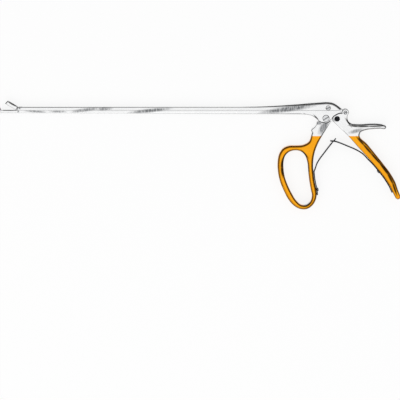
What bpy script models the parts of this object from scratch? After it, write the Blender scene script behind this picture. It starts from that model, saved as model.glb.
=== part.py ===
"""Biopsy punch with a sliding two-bar shaft, a hinged window jaw and sprung handles.

Drawn as it is held: X runs along the shaft from the jaws to the handles, Y is up, and Z is
across the thickness, all from the centre of the main pivot, in millimetres. One empty then
lays the finished instrument on its side, with its middle over the world origin.
"""

import math

import bmesh
import bpy
from mathutils import Matrix, Vector

MM = 0.001

# Shaft: two bars that meet on the parting plane; its length runs from the teeth to the main pivot
SHAFT_LENGTH = 251.0
PARTING_Y = 6.1
SLIDE_GAP = 0.10
SHAFT_WIDTH = 5.0
BODY_WIDTH = 8.0
TAPER_FRONT_X = -46.0
TAPER_REAR_X = -8.0
TOP_BAR_HEIGHT = 2.5
LOWER_BAR_HEIGHT_FRONT = 1.9
LOWER_BAR_HEIGHT_REAR = 2.9
SHAFT_ROUNDING = 0.8
CHEEK_ROUNDING = 0.35
CREST_ROUNDING = 1.7
FINE_EDGE = 0.06
CREST_START_X = -66.0
NOSE_EDGE_LENGTH = 2.0

# Lower jaw: a box of teeth and ribs at the nose of the lower bar
TIP_X = -SHAFT_LENGTH
TOOTH_HEIGHT = 2.0
TOOTH_LENGTH = 1.15
TOOTH_COUNT = 4
NOSE_LEAN = 0.35
NOSE_RADIUS = 0.5
BASKET_FRONT_X = TIP_X + 2.1
BASKET_LENGTH = 10.2
BASKET_WIDTH = 3.3
BASKET_DEPTH = 1.45
RIB_COUNT = 3
RIB_HEIGHT = 0.6
RIB_THICKNESS = 0.35
NOTCH_FLOOR = 0.03

# Upper jaw and the two pins in its tail
JAW_PIVOT_X = TIP_X + 14.1
JAW_PIVOT_BELOW = 1.05
JAW_DRIVE_ABOVE = 1.5
JAW_DRIVE_OPEN_X = 1.105
JAW_OPEN_DEG = 30.0
JAW_CLEARANCE = 0.15
JAW_THICKNESS = 2.9
JAW_SIT_DEPTH = 0.75
JAW_RAKE = 0.6
JAW_REAR_GAP = 0.3
JAW_TIP_CHAMFER = 0.3
WINDOW_WIDTH = 1.4
WINDOW_WALL = 0.85
TAIL_WIDTH = 1.5
TAIL_SIDE_GAP = 0.1
TAIL_REAR_GAP = 0.5
TAIL_RADIUS = 0.75
TAIL_END_WALL = 0.3
TAIL_STEP = 0.01
JAW_PIN_RADIUS = 0.4
JAW_PIN_CLEARANCE = 0.07
TOP_NOSE_X = TIP_X + 13.5
TOP_GROOVE_LENGTH = 3.5

# Drive: the handle's arm pushes the top bar by the drive screw
HANDLE_SQUEEZE_DEG = 9.69
DRIVE_X = 1.7
DRIVE_Y = 8.1
STROKE = 1.4

# Keys that hold the two bars together
KEY_FRONT_X = TIP_X + 30.0
KEY_FRONT_LENGTH = 6.0
KEY_REAR_X = -46.0
KEY_REAR_LENGTH = 8.0
KEY_NECK_WIDTH = 1.6
KEY_HEAD_WIDTH = 2.8
KEY_NECK_HEIGHT = 0.55
KEY_HEAD_HEIGHT = 0.6
KEY_GAP = 0.1

# Handle heads and screws
PLAY = 0.1
HEAD_THICKNESS = 3.2
HEAD_RADIUS = 3.3
HEAD_SLOT_REAR_X = 3.95
ARM_RADIUS = 2.2
CHEEK_RADIUS = 3.4
SHOULDER_GAP = 0.2
SCALLOP_STEP_DEG = 15
PIVOT_HEAD_RADIUS = 2.5
PIVOT_SHANK_RADIUS = 1.5
DRIVE_HEAD_RADIUS = 1.75
DRIVE_SHANK_RADIUS = 1.1
FIXING_X = 8.6
FIXING_Y = -0.3
FIXING_HEAD_RADIUS = 1.95
FIXING_SHANK_RADIUS = 1.1
TONGUE_RADIUS = 2.9
FORK_GAP = 0.25
KNUCKLE_X = 14.9
KNUCKLE_Y = 4.5
KNUCKLE_RADIUS = 2.6
KNUCKLE_HEAD_RADIUS = 1.3
KNUCKLE_SHANK_RADIUS = 0.8
TAIL_EYE_WALL = 0.45
SCREW_HEAD_HEIGHT = 1.0
SCREW_SLOT_WIDTH = 0.6
SCREW_SLOT_DEPTH = 0.45
SCREW_END_BREAK = 0.2
SCREW_HEAD_BREAK = 0.15
SCREW_CROWN = 0.05
PIVOT_SLOT_DEG = 31
DRIVE_SLOT_DEG = 18
FIXING_SLOT_DEG = 120
KNUCKLE_SLOT_DEG = 20

# Leaf springs
SPRING_WIDTH = 5.0
SPRING_THICKNESS = 0.8
SPRING_SEAT_GAP = 0.12
TONGUE_TIP_WIDTH = 2.0
SPRING_SCREW_RADIUS = 0.9
SPRING_SCREW_HEAD = 1.5
SPRING_SCREW_HEAD_HEIGHT = 0.8
SPRING_SCREW_DEPTH = 1.9
SPRING_SCREW_FLAT = 0.35
SPRING_SCREW_SEAT_GAP = 0.08
SPRING_SLOT_HALF = 0.22
SPRING_SLOT_DEPTH = 0.3
TONGUE_SLOT_GAP = 0.2
TONGUE_SLOT_AHEAD = 1.5
TONGUE_SLOT_BEHIND = 1.7
TONGUE_SHOULDER = 0.8
FRONT_SCREW_POINT = 1
REAR_SCREW_POINT = 1

# Rims of the handles
RING_INNER_ROUNDING = 1.3
RING_CUT_OVER = 0.001
RING_OUTER_ROUNDING = 1.5
HEAD_RIM = 0.35
STEM_RIM = 0.25
STEM_RIM_START_Y = -4.5
STEM_RIM_GROWTH = 0.09
SPUR_TOP_RIM = 1.4
SPUR_TIP_RIM = 0.9
SPUR_ROOT_RIM = 1.1
SPUR_SADDLE_INDEX = 5
SPUR_TIP_INDEX = 9
GRIP_RIM = 2.0
GRIP_END_RIM = 0.7
SEAM_GAP_X = 0.12
SEAM_GAP_Y = -0.16

# Cutters: half-length across the instrument, reach past a face, and root of a welded piece
THROUGH = 5.0
OVER = 1.0
ROOT = 0.1

# Outlines, as held
CREST = [(-66.0, 8.6), (-46.2, 9.1), (-22.7, 10.7), (-5.0, 12.2), (1.5, 12.5), (5.4, 11.8), (9.2, 9.6),
         (12.3, 7.0)]
HORN = [(-20.0, 3.2), (-15.4, 3.0), (-11.6, 2.3), (-8.5, 0.6), (-5.58, -1.92)]
HEAD_SEAM = [(4.6, -0.5), (5.25, 0.95), (7.7, 2.85), (10.4, 4.0), (12.0, 4.15)]
BODY_REAR = (10.9, PARTING_Y - SLIDE_GAP / 2)
STEM_FRONT = [(-6.9, -3.1), (-7.4, -4.9), (-8.9, -6.9), (-11.2, -8.8), (-11.3, -9.9), (-10.7, -10.8),
              (-11.2, -12.6), (-11.6, -14.6), (-13.0, -18.0), (-17.0, -20.5)]
RING_OUTER = [(-23.3, -21.2), (-28.5, -21.4), (-33.0, -23.4), (-35.9, -27.6), (-37.2, -34.5), (-36.8, -42.2),
              (-35.2, -49.3), (-32.3, -56.3), (-28.6, -63.2), (-24.3, -67.9), (-19.6, -70.3), (-14.6, -70.3),
              (-10.4, -67.6), (-7.9, -63.6)]
RING_BACK = [(-7.0, -59.5), (-7.3, -55.5), (-8.3, -50.8), (-9.1, -46.3), (-9.6, -41.5)]
STEM_BACK = [(-9.9, -36.7), (-9.5, -30.8), (-8.4, -25.6), (-6.0, -19.4), (-2.9, -13.5), (0.2, -8.4),
             (4.05, -2.07)]
RING_HOLE = [(-23.3, -24.8), (-28.0, -25.9), (-31.2, -28.8), (-32.6, -33.5), (-32.6, -39.0), (-31.6, -45.5),
             (-29.4, -51.8), (-26.4, -58.0), (-22.6, -64.0), (-19.0, -67.0), (-15.2, -67.2), (-12.0, -64.6),
             (-10.7, -60.2), (-11.6, -55.0), (-12.8, -48.0), (-13.6, -40.8), (-14.4, -33.5), (-16.4, -28.3),
             (-19.4, -25.6)]
EDGE_STEPS = 4
SPUR = [(16.55, 2.3), (16.4, 0.2), (17.1, -2.0), (19.3, -3.9), (23.0, -4.5), (28.0, -4.5), (34.0, -4.1),
        (40.0, -4.2), (44.0, -5.0), (46.4, -6.7), (46.0, -7.9), (41.6, -8.0), (35.4, -8.4), (30.0, -9.3),
        (26.6, -11.0), (25.9, -13.3)]
GRIP_BACK = [(31.6, -19.8), (38.0, -27.6), (44.3, -35.5), (49.7, -42.7), (53.6, -49.6), (55.9, -56.3),
             (57.4, -60.2)]
GRIP_END = [(57.2, -62.0), (55.6, -62.9), (53.9, -61.9)]
GRIP_SEAT = [(51.6, -57.4), (49.0, -52.0), (45.8, -46.9), (41.3, -40.9), (36.4, -35.1)]
GRIP_FRONT = [(30.9, -28.9), (23.8, -21.1), (16.8, -13.2), (5.05, -2.0)]
REAR_SPRING_FREE = [(32.8, -32.2), (28.2, -27.5), (22.1, -23.9), (17.1, -21.8), (12.1, -19.7), (7.4, -18.1),
                    (3.3, -17.6)]
FRONT_SPRING_FREE = [(-8.3, -39.4), (-6.9, -35.3), (-4.8, -31.6), (-1.8, -27.6), (1.2, -23.6), (4.1, -19.9),
                     (6.0, -17.75), (7.7, -15.8)]

TONGUE_TOP = [(11.5, 2.15), (11.4, 4.35), (FIXING_X - TONGUE_RADIUS, 4.35)]
FORK_TOP = [(12.2, 1.8), (20.0, 1.8), (20.0, 9.0), (4.0, 9.0), (4.0, 0.3)]
TAIL_TOP = [(13.4, 6.4), (11.2, 7.9), (9.0, 9.3), (6.0, 9.5), (6.0, 7.6), (11.5, 6.9), (12.6, 6.15),
            (13.4, 4.4), (13.5, 3.15)]
HEAD_ROOT = [(-3.2, -8.0), (0.6, -6.0)]
STEM_SHOULDER = (-6.1, -2.5)
SLOT_FLOOR_Y = -12.0

STEEL = (0.70, 0.71, 0.72)
GOLD = (0.95, 0.42, 0.02)
BLACK = (0.03, 0.03, 0.035)
TEMPERED = (0.12, 0.125, 0.135)


def arc(centre, radius, start, end, steps):
    """Points along an arc, from start to end in degrees."""
    turns = [math.radians(start + (end - start) * i / steps) for i in range(steps + 1)]
    return [(centre[0] + radius * math.cos(a), centre[1] + radius * math.sin(a)) for a in turns]


def circle(centre, radius, sides=28):
    """Points round a full circle."""
    return arc(centre, radius, 0.0, 360.0, sides)[:-1]


def smooth_path(points, per_span=3, closed=False):
    """A smooth curve through the given points, with per_span steps between neighbours."""
    nodes = [Vector(p) for p in points]
    count = len(nodes)

    def slope(i):
        before, here, after = nodes[i - 1], nodes[i], nodes[(i + 1) % count]
        if not closed and i == 0:
            return (after - here).normalized()
        if not closed and i == count - 1:
            return (here - before).normalized()
        d0, d1 = (here - before).length, (after - here).length
        return ((here - before) / d0 * d1 + (after - here) / d1 * d0) / (d0 + d1)

    result = []
    for i in range(count if closed else count - 1):
        a, b = nodes[i], nodes[(i + 1) % count]
        span = (b - a).length
        for k in range(per_span):
            t = k / per_span
            result.append(
                (2 * t**3 - 3 * t**2 + 1) * a + (t**3 - 2 * t**2 + t) * span * slope(i)
                + (3 * t**2 - 2 * t**3) * b + (t**3 - t**2) * span * slope((i + 1) % count)
            )
    if not closed:
        result.append(nodes[-1])
    return [(p.x, p.y) for p in result]


def ramp(first, last, count):
    """Evenly spaced values from first to last."""
    return [first + (last - first) * i / (count - 1) for i in range(count)]


def rotate(point, degrees):
    """A point turned about the drawing's zero."""
    a = math.radians(degrees)
    return (point[0] * math.cos(a) - point[1] * math.sin(a), point[0] * math.sin(a) + point[1] * math.cos(a))


def offset_path(points, distances, closed=True):
    """The outline moved to its left by a distance at each point."""
    count = len(points)
    moved = []
    for i, point in enumerate(points):
        before = Vector(points[i - 1] if closed or i else point)
        after = Vector(points[(i + 1) % count] if closed or i < count - 1 else point)
        here = Vector(point)
        first = (here - before).normalized() if (here - before).length else (after - here).normalized()
        last = (after - here).normalized() if (after - here).length else first
        normal = Vector((-first.y - last.y, first.x + last.x)).normalized()
        stretch = max(0.5, normal.dot(Vector((-first.y, first.x))))
        moved.append(tuple(here + normal * distances[i] / stretch))
    return moved


def thick_path(path, radius, round_ends=True, end_steps=8):
    """A closed outline at a radius all round a path, with round or square ends."""
    left = offset_path(path, [radius] * len(path), closed=False)
    right = offset_path(path, [-radius] * len(path), closed=False)
    if not round_ends:
        return right + left[::-1]
    ahead = Vector(path[-1]) - Vector(path[-2])
    heading = math.degrees(math.atan2(ahead.y, ahead.x))
    behind = Vector(path[1]) - Vector(path[0])
    tailing = math.degrees(math.atan2(behind.y, behind.x))
    far_end = arc(path[-1], radius, heading - 90, heading + 90, end_steps)
    near_end = arc(path[0], radius, tailing + 90, tailing + 270, end_steps)
    return right[1:-1] + far_end + left[-2:0:-1] + near_end


def loft(loops):
    """A closed solid through a stack of matching loops of 3D points."""
    bm = bmesh.new()
    rings = []
    for loop in loops:
        verts = [bm.verts.new((x * MM, y * MM, z * MM)) for x, y, z in loop]
        edges = [bm.edges.new((verts[i - 1], verts[i])) for i in range(len(verts))]
        rings.append((verts, edges))
    for (_, lower), (_, upper) in zip(rings, rings[1:]):
        bmesh.ops.bridge_loops(bm, edges=lower + upper)
    bm.faces.new(rings[0][0])
    bm.faces.new(rings[-1][0])
    bmesh.ops.recalc_face_normals(bm, faces=bm.faces)
    return bm


def plate(outline, low, high):
    """A flat plate of one outline between two heights."""
    bm = bmesh.new()
    base = bm.faces.new([bm.verts.new((x * MM, y * MM, low * MM)) for x, y in outline])
    grown = bmesh.ops.extrude_face_region(bm, geom=[base])["geom"]
    raised = [v for v in grown if isinstance(v, bmesh.types.BMVert)]
    bmesh.ops.translate(bm, vec=(0, 0, (high - low) * MM), verts=raised)
    bmesh.ops.recalc_face_normals(bm, faces=bm.faces)
    return bm


def rounded_plate(outline, half, rounding, steps=3, outwards=False):
    """A plate across the middle plane with rounded rims; outwards flares them, as a cutter does."""
    sign = -1.0 if outwards else 1.0
    radii = rounding if isinstance(rounding, list) else [rounding] * len(outline)
    levels = [math.radians(90.0 * k / steps) for k in range(steps + 1)]
    loops = []
    for a in levels:
        inset = offset_path(outline, [sign * r * (1 - math.sin(a)) for r in radii])
        loops.append([(x, y, -half + r * (1 - math.cos(a))) for (x, y), r in zip(inset, radii)])
    return loft(loops + [[(x, y, -z) for x, y, z in loop] for loop in loops[::-1]])


def block(low, high):
    """A box between two corners."""
    bm = bmesh.new()
    bmesh.ops.create_cube(bm, size=1.0)
    size = [h - l for l, h in zip(low, high)]
    centre = [(l + h) / 2 for l, h in zip(low, high)]
    bmesh.ops.scale(bm, vec=[s * MM for s in size], verts=bm.verts)
    bmesh.ops.translate(bm, vec=[c * MM for c in centre], verts=bm.verts)
    return bm


def prism_along_x(section, start, end):
    """A prism of a (z, y) section between two places along the shaft."""
    bm = plate(section, start, end)
    swap_x_and_z = Matrix(((0, 0, 1, 0), (0, 1, 0, 0), (1, 0, 0, 0), (0, 0, 0, 1)))
    bmesh.ops.transform(bm, matrix=swap_x_and_z, verts=bm.verts)
    bmesh.ops.recalc_face_normals(bm, faces=bm.faces)
    return bm


def turned(profile, sides=32):
    """A round piece spun about its own axis from an (r, z) profile that starts and ends on it."""
    bm = bmesh.new()
    verts = [bm.verts.new((r * MM, 0, z * MM)) for r, z in profile]
    edges = [bm.edges.new(pair) for pair in zip(verts, verts[1:])]
    bmesh.ops.spin(
        bm, geom=verts + edges, axis=(0, 0, 1), cent=(0, 0, 0), angle=math.tau, steps=sides, use_merge=True
    )
    bmesh.ops.remove_doubles(bm, verts=bm.verts, dist=1e-7)
    bmesh.ops.recalc_face_normals(bm, faces=bm.faces)
    return bm


def moved(bm, x=0.0, y=0.0, z=0.0, spin=0.0):
    """The same mesh turned by spin degrees about Z, then moved."""
    matrix = Matrix.Translation((x * MM, y * MM, z * MM)) @ Matrix.Rotation(math.radians(spin), 4, "Z")
    bmesh.ops.transform(bm, matrix=matrix, verts=bm.verts)
    return bm


def finish(name, colour, metallic, roughness):
    """A material of one colour for one piece."""
    material = bpy.data.materials.new(name + "_finish")
    material.use_nodes = True
    shader = material.node_tree.nodes["Principled BSDF"]
    shader.inputs["Base Color"].default_value = (*colour, 1.0)
    shader.inputs["Metallic"].default_value = metallic
    shader.inputs["Roughness"].default_value = roughness
    return material


def piece(name, bm, frame, colour=STEEL, roughness=0.28, pivot=(0.0, 0.0)):
    """One named piece, with its origin at its pivot."""
    bmesh.ops.translate(bm, vec=(-pivot[0] * MM, -pivot[1] * MM, 0), verts=bm.verts)
    mesh = bpy.data.meshes.new(name)
    bm.to_mesh(mesh)
    bm.free()
    mesh.shade_smooth()
    mesh.set_sharp_from_angle(angle=math.radians(32))
    mesh.materials.append(finish(name, colour, 1.0, roughness))
    obj = bpy.data.objects.new(name, mesh)
    bpy.context.scene.collection.objects.link(obj)
    obj.parent = frame
    obj.location = (pivot[0] * MM, pivot[1] * MM, 0)
    return obj


def combine(obj, operation, label, bm):
    """Add to, or cut from, a piece with a hidden tool body."""
    mesh = bpy.data.meshes.new(obj.name + "_" + label)
    bm.to_mesh(mesh)
    bm.free()
    tool = bpy.data.objects.new(mesh.name, mesh)
    bpy.context.scene.collection.objects.link(tool)
    tool.parent = obj.parent
    tool.hide_render = True
    tool.display_type = "WIRE"
    modifier = obj.modifiers.new(label, "BOOLEAN")
    modifier.operation = operation
    modifier.solver = "EXACT"
    modifier.object = tool


def cut(obj, label, bm):
    """Cut a hidden tool body out of a piece."""
    combine(obj, "DIFFERENCE", label, bm)


def join(obj, label, bm):
    """Weld a hidden tool body to a piece."""
    combine(obj, "UNION", label, bm)


def bar_face(side):
    """Height of a bar's sliding face: side is 1 on the top bar and -1 on the lower bar."""
    return PARTING_Y + side * SLIDE_GAP / 2


def cheek_radius(degrees):
    """Radius of the body's scalloped edge about the main pivot: it grows towards the horn."""
    reach = math.hypot(*HORN[-1]) - CHEEK_RADIUS
    return CHEEK_RADIUS + reach * max(0.0, (-100.0 - degrees) / 61.0) ** 2


def scalloped(degrees, gap=0.0):
    """A point of the scalloped edge, or of the shoulder at a gap under it."""
    radius = cheek_radius(degrees) + gap
    return (radius * math.cos(math.radians(degrees)), radius * math.sin(math.radians(degrees)))


def taper(bm):
    """Narrow a full-width bar to the shaft's width, in one straight taper."""
    for x in (TAPER_FRONT_X, TAPER_REAR_X):
        geometry = bm.verts[:] + bm.edges[:] + bm.faces[:]
        bmesh.ops.bisect_plane(bm, geom=geometry, dist=1e-7, plane_co=(x * MM, 0, 0), plane_no=(1, 0, 0))
    for vert in bm.verts:
        share = (TAPER_REAR_X - vert.co.x / MM) / (TAPER_REAR_X - TAPER_FRONT_X)
        width = BODY_WIDTH + (SHAFT_WIDTH - BODY_WIDTH) * min(1.0, max(0.0, share))
        vert.co.z *= width / BODY_WIDTH
    return bm


def cam_run(pin, pivot_turn, steps=12):
    """Nearest and farthest place of a sliding pin, seen from the piece that it turns about zero."""
    path = [rotate((pin[0] - STROKE * k / steps, pin[1]), -pivot_turn * k / steps) for k in range(steps + 1)]
    return [min(path, key=lambda p: math.hypot(*p)), max(path, key=lambda p: math.hypot(*p))]


def key_section(neck_half, head_half, low, shelf, top):
    """Outline of a T-key or its slot, as (z, y) points."""
    return [(-neck_half, low), (neck_half, low), (neck_half, shelf), (head_half, shelf), (head_half, top),
            (-head_half, top), (-head_half, shelf), (-neck_half, shelf)]


def keys():
    """Centre and length of each key on the lower bar."""
    return [("front", KEY_FRONT_X, KEY_FRONT_LENGTH), ("rear", KEY_REAR_X, KEY_REAR_LENGTH)]


def screw(name, frame, centre, head_radius, shank_radius, slot_degrees, colour=STEEL, roughness=0.3):
    """A cheese-head screw across the instrument, flush with both faces, with its slot cut in."""
    half = BODY_WIDTH / 2
    shelf = half - SCREW_HEAD_HEIGHT
    end = -half + PLAY
    profile = [(0, end), (shank_radius - SCREW_END_BREAK, end), (shank_radius, end + SCREW_END_BREAK),
               (shank_radius, shelf), (head_radius, shelf), (head_radius, half - SCREW_HEAD_BREAK),
               (head_radius - SCREW_HEAD_BREAK, half), (0, half + SCREW_CROWN)]
    obj = piece(name, moved(turned(profile), *centre), frame, colour, roughness)
    reach = head_radius + OVER
    side = SCREW_SLOT_WIDTH / 2
    slot = block((-reach, -side, half - SCREW_SLOT_DEPTH), (reach, side, half + OVER))
    cut(obj, "driver_slot", moved(slot, *centre, spin=slot_degrees))
    return obj


def screw_hole(obj, label, centre, head_radius, shank_radius, headed=True):
    """The through hole and the head's recess for a screw across the instrument."""
    half = BODY_WIDTH / 2
    cut(obj, label + "_hole", plate(circle(centre, shank_radius + PLAY), -THROUGH, THROUGH))
    if headed:
        recess = circle(centre, head_radius + PLAY, 32)
        cut(obj, label + "_recess", plate(recess, half - SCREW_HEAD_HEIGHT - PLAY, THROUGH))


def lower_bar_outline():
    """Side view of the lower bar with its nose, horn, scallop and rear edge, anticlockwise."""
    face = bar_face(-1)
    nose_low = face - LOWER_BAR_HEIGHT_FRONT
    nose_x = TIP_X + NOSE_LEAN
    nose = arc((nose_x + NOSE_RADIUS, nose_low + NOSE_RADIUS), NOSE_RADIUS, 180, 270, 4)
    scallop = [scalloped(degrees) for degrees in range(-155, -15, SCALLOP_STEP_DEG)]
    tooth = [(TIP_X + TOOTH_LENGTH, face), (TIP_X, face + TOOTH_HEIGHT)]
    return nose + smooth_path(HORN, 3) + scallop + HEAD_SEAM + [BODY_REAR] + tooth


def build_lower_bar(frame):
    """Lower half of the shaft: toothed basket, bar, keys, and the body with its tongue."""
    outline = lower_bar_outline()
    face = bar_face(-1)
    nose_face = face - NOSE_RADIUS

    def rounding(x, y):
        if y > nose_face or x < TIP_X + NOSE_EDGE_LENGTH:
            return FINE_EDGE
        return SHAFT_ROUNDING if x < HORN[1][0] else CHEEK_ROUNDING

    radii = [rounding(x, y) for x, y in outline]
    obj = piece("lower_bar", taper(rounded_plate(outline, BODY_WIDTH / 2, radii)), frame)

    tongue = arc((FIXING_X, FIXING_Y), TONGUE_RADIUS, 180, 340, 12) + TONGUE_TOP
    join(obj, "tongue", plate(tongue, -HEAD_THICKNESS / 2, HEAD_THICKNESS / 2))
    slot_half = HEAD_THICKNESS / 2 + PLAY
    slot_low = (-HEAD_RADIUS - 2 * PLAY, SLOT_FLOOR_Y, -slot_half)
    slot = block(slot_low, (HEAD_SLOT_REAR_X, PARTING_Y + OVER, slot_half))
    cut(obj, "head_slot", slot)
    screw_hole(obj, "pivot", (0, 0), PIVOT_HEAD_RADIUS, PIVOT_SHANK_RADIUS)
    screw_hole(obj, "fixing", (FIXING_X, FIXING_Y), 0, FIXING_SHANK_RADIUS, headed=False)

    for label, x, length in keys():
        section = key_section(KEY_NECK_WIDTH / 2, KEY_HEAD_WIDTH / 2, face - 5 * ROOT, face + KEY_NECK_HEIGHT,
                              face + KEY_NECK_HEIGHT + KEY_HEAD_HEIGHT)
        join(obj, label + "_key", prism_along_x(section, x - length / 2, x + length / 2))

    cut_basket(obj, face)
    pivot = (JAW_PIVOT_X, PARTING_Y - JAW_PIVOT_BELOW)
    slot_half = TAIL_WIDTH / 2 + TAIL_SIDE_GAP
    front = BASKET_FRONT_X + BASKET_LENGTH - 2 * ROOT
    rear = JAW_PIVOT_X + TAIL_RADIUS + TAIL_REAR_GAP
    floor = face - LOWER_BAR_HEIGHT_FRONT - OVER
    cut(obj, "tail_slot", block((front, floor, -slot_half), (rear, face + OVER, slot_half)))
    cut(obj, "jaw_pin_hole", plate(circle(pivot, JAW_PIN_RADIUS + JAW_PIN_CLEARANCE, 24), -THROUGH, THROUGH))
    return obj


def cut_basket(obj, face):
    """The tissue basket with its ribs, and the notches that make the row of teeth."""
    floor = face - BASKET_DEPTH
    half = BASKET_WIDTH / 2
    top = face + TOOTH_HEIGHT + OVER
    cut(obj, "basket", block((BASKET_FRONT_X, floor, -half), (BASKET_FRONT_X + BASKET_LENGTH, top, half)))
    for index in range(RIB_COUNT):
        x = BASKET_FRONT_X + BASKET_LENGTH * (index + 1) / (RIB_COUNT + 1)
        low = (x - RIB_THICKNESS / 2, floor - ROOT, -half - ROOT)
        high = (x + RIB_THICKNESS / 2, floor + RIB_HEIGHT, half + ROOT)
        join(obj, f"rib_{index + 1}", block(low, high))
    notches = TOOTH_COUNT - 1
    pitch = SHAFT_WIDTH / notches
    rise = 1.15 * TOOTH_HEIGHT
    spread = pitch / 2 * rise / TOOTH_HEIGHT
    for index in range(notches):
        z = (index - (notches - 1) / 2) * pitch
        notch = [(z, face + NOTCH_FLOOR), (z + spread, face + rise), (z - spread, face + rise)]
        cut(obj, f"notch_{index + 1}", prism_along_x(notch, TIP_X - OVER, TIP_X + TOOTH_LENGTH + 5 * ROOT))


def build_top_bar(frame):
    """Sliding half of the shaft, with its forked nose, T-slots, arm slot and slotted tail."""
    face = bar_face(1)
    radius = (PARTING_Y + TOP_BAR_HEIGHT - face) / 2
    nose = arc((TOP_NOSE_X + radius, face + radius), radius, 90, 270, 10)
    knuckle = (KNUCKLE_X, KNUCKLE_Y)
    seat = KNUCKLE_RADIUS + 2 * PLAY
    top = [p for p in smooth_path(CREST, 3) if math.dist(p, knuckle) > seat + 3 * ROOT]
    low_angle = 180 - math.degrees(math.asin((face - KNUCKLE_Y) / seat))
    high_angle = math.degrees(math.atan2(CREST[-1][1] - KNUCKLE_Y, CREST[-1][0] - KNUCKLE_X))
    end = arc(knuckle, seat, low_angle, high_angle, 3)
    outline = nose + end + top[::-1]

    def rounding(x, y):
        if y < face + radius:
            return FINE_EDGE
        share = min(1.0, max(0.0, (x - CREST_START_X) / (HORN[0][0] - CREST_START_X)))
        return SHAFT_ROUNDING + (CREST_ROUNDING - SHAFT_ROUNDING) * share

    radii = [rounding(x, y) for x, y in outline]
    obj = piece("top_bar", taper(rounded_plate(outline, BODY_WIDTH / 2, radii)), frame)

    eye = KNUCKLE_X + STROKE
    wall = KNUCKLE_SHANK_RADIUS + PLAY + TAIL_EYE_WALL
    tail = arc((eye, KNUCKLE_Y), wall, -90, 90, 6) + TAIL_TOP
    join(obj, "tail", plate(tail, -HEAD_THICKNESS / 2, HEAD_THICKNESS / 2))
    run = thick_path([knuckle, (KNUCKLE_X + STROKE, KNUCKLE_Y)], KNUCKLE_SHANK_RADIUS + PLAY)
    cut(obj, "tail_slot", plate(run, -THROUGH, THROUGH))

    slot_half = HEAD_THICKNESS / 2 + PLAY
    arm_top = DRIVE_Y + ARM_RADIUS + 3 * PLAY
    reach = ARM_RADIUS + OVER
    slot = block((DRIVE_X - reach, face - OVER, -slot_half), (DRIVE_X + reach, arm_top, slot_half))
    cut(obj, "arm_slot", slot)
    screw_hole(obj, "drive", (DRIVE_X, DRIVE_Y), DRIVE_HEAD_RADIUS, DRIVE_SHANK_RADIUS)

    shelf = face + KEY_NECK_HEIGHT - SLIDE_GAP - KEY_GAP
    roof = face + KEY_NECK_HEIGHT + KEY_HEAD_HEIGHT - SLIDE_GAP + KEY_GAP
    for label, x, length in keys():
        front, rear = x - length / 2 - KEY_GAP, x + length / 2 + KEY_GAP
        half = KEY_HEAD_WIDTH / 2 + KEY_GAP
        section = key_section(KEY_NECK_WIDTH / 2 + KEY_GAP, half, face - OVER, shelf, roof)
        cut(obj, label + "_key_slot", prism_along_x(section, front - 2 * KEY_GAP, rear + STROKE))
        pocket = block((front - length - 2 * KEY_GAP, face - OVER, -half), (front, roof, half))
        cut(obj, label + "_key_pocket", pocket)

    slot_half = TAIL_WIDTH / 2 + TAIL_SIDE_GAP
    groove_end = TOP_NOSE_X + TOP_GROOVE_LENGTH
    groove_top = face + TOP_BAR_HEIGHT + OVER
    groove = block((TOP_NOSE_X - OVER, face - OVER, -slot_half), (groove_end, groove_top, slot_half))
    cut(obj, "nose_groove", groove)
    pin = (JAW_PIVOT_X + JAW_DRIVE_OPEN_X, PARTING_Y + JAW_DRIVE_ABOVE)
    cut(obj, "drive_pin_hole", plate(circle(pin, JAW_PIN_RADIUS + JAW_PIN_CLEARANCE, 24), -THROUGH, THROUGH))
    return obj


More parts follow.
